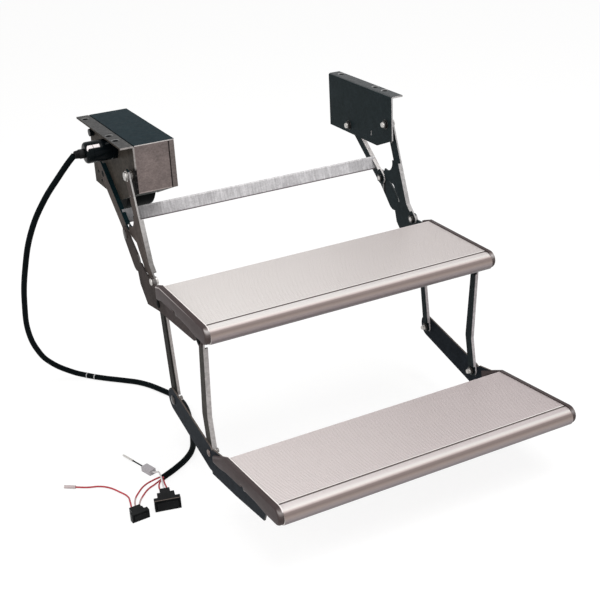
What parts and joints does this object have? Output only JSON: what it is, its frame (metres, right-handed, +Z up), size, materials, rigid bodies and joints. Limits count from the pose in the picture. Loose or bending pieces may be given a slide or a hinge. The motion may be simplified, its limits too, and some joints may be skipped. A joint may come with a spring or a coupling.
{
  "type": "caravan pull out step",
  "caption": "Motor-driven double step that swings out from under a vehicle floor on pressed steel arms, with ribbed aluminium treads, moulded end caps, a loose cable and rocker switches.",
  "frame": {"origin": "middle of the four outer flange bolt holes, in the plane of the flange tops", "axes": "+X to the right seen by a person facing the step, the front is -Y, +Z up towards the vehicle floor"},
  "size_m": [0.7631, 0.8062, 0.5458],
  "materials": {
    "galvanised": "spangled galvanised, satin",
    "dark_sheet": "satin",
    "casting": "matt",
    "zinc_steel": "bright zinc",
    "motor_black": "gloss",
    "anodised": "anodised, satin",
    "cap_plastic": "satin moulded",
    "black_plastic": "satin",
    "cable_rubber": "matt",
    "wire_red": "gloss",
    "wire_white": "gloss",
    "terminal_clear": "milky"
  },
  "bodies": {
    "root": {"bracket_left": "galvanised", "bracket_right": "galvanised", "box_cover": "galvanised", "box_lid": "dark_sheet", "gear_housing": "casting", "gearbox_bolts": "motor_black", "motor": "motor_black", "cable_gland": "black_plastic", "front_pivot_bolts": "zinc_steel", "rear_pivot_bolt": "zinc_steel", "pivot_bushes": "zinc_steel", "cable": "cable_rubber", "wire_white": "wire_white", "wire_red": "wire_red", "wires_small": "wire_red", "wires_main": "wire_red", "plug_white": "wire_white", "plug_lead": "cable_rubber", "plug_pin": "zinc_steel", "terminal_red": "terminal_clear", "switch_small": "black_plastic", "switch_main": "black_plastic"},
    "front_arms": {"front_arm_left": "galvanised", "front_arm_right": "galvanised"},
    "rear_arms": {"rear_arm_left": "galvanised", "rear_arm_right": "galvanised", "rear_arm_nuts": "zinc_steel", "output_shaft": "zinc_steel", "cross_bar": "galvanised"},
    "upper_step": {"upper_plate_left": "galvanised", "upper_plate_right": "galvanised", "arm_bolts": "zinc_steel", "upper_studs": "zinc_steel", "upper_tread": "anodised", "upper_cap_left": "cap_plastic", "upper_cap_right": "cap_plastic", "upper_cap_screws": "zinc_steel", "leg_rivets": "zinc_steel"},
    "rear_legs": {"rear_leg_left": "galvanised", "rear_leg_right": "galvanised", "rear_leg_nuts": "zinc_steel"},
    "front_legs": {"front_leg_left": "galvanised", "front_leg_right": "galvanised"},
    "lower_step": {"lower_plate_left": "galvanised", "lower_plate_right": "galvanised", "leg_bolts": "zinc_steel", "lower_studs": "zinc_steel", "lower_tread": "anodised", "lower_cap_left": "cap_plastic", "lower_cap_right": "cap_plastic", "lower_cap_screws": "zinc_steel"},
    "rocker_small": {"rocker_small": "black_plastic"},
    "rocker_main": {"rocker_main": "black_plastic"}
  },
  "joints": [
    {"name": "front_arm_swing", "type": "hinge", "parent": "root", "child": "front_arms", "pos_m": [0, -0.11, -0.057], "axis": [1, 0, 0], "range_deg": [0, 74]},
    {"name": "rear_arm_swing", "type": "hinge", "parent": "root", "child": "rear_arms", "pos_m": [0, 0.031, -0.091], "axis": [1, 0, 0], "range_deg": [0, 116.5]},
    {"name": "upper_step_turn", "type": "hinge", "parent": "front_arms", "child": "upper_step", "pos_m": [0, -0.188, -0.226], "axis": [1, 0, 0], "range_deg": [-85, 0]},
    {"name": "front_leg_swing", "type": "hinge", "parent": "upper_step", "child": "front_legs", "pos_m": [0, -0.39, -0.252], "axis": [1, 0, 0], "range_deg": [0, 61.5]},
    {"name": "rear_leg_swing", "type": "hinge", "parent": "upper_step", "child": "rear_legs", "pos_m": [0, -0.213, -0.258], "axis": [1, 0, 0], "range_deg": [0, 72.6]},
    {"name": "lower_step_turn", "type": "hinge", "parent": "front_legs", "child": "lower_step", "pos_m": [0, -0.388, -0.463], "axis": [1, 0, 0], "range_deg": [-65.3, 0]},
    {"name": "small_rocker_press", "type": "hinge", "parent": "root", "child": "rocker_small", "pos_m": [-0.40021, -0.39201, -0.53725], "axis": [0, 0, 1], "range_deg": [-10, 10]},
    {"name": "main_rocker_press", "type": "hinge", "parent": "root", "child": "rocker_main", "pos_m": [-0.35032, -0.38908, -0.5345], "axis": [0, 0, 1], "range_deg": [-10, 10]}
  ],
  "couplings": [
    {"joint": "rear_arm_swing", "follows": "front_arm_swing", "ratio": 1.5645},
    {"joint": "upper_step_turn", "follows": "front_arm_swing", "ratio": -1.1409},
    {"joint": "front_leg_swing", "follows": "front_arm_swing", "ratio": 0.82432},
    {"joint": "rear_leg_swing", "follows": "front_arm_swing", "ratio": 0.97053},
    {"joint": "lower_step_turn", "follows": "front_arm_swing", "ratio": -0.87422}
  ]
}
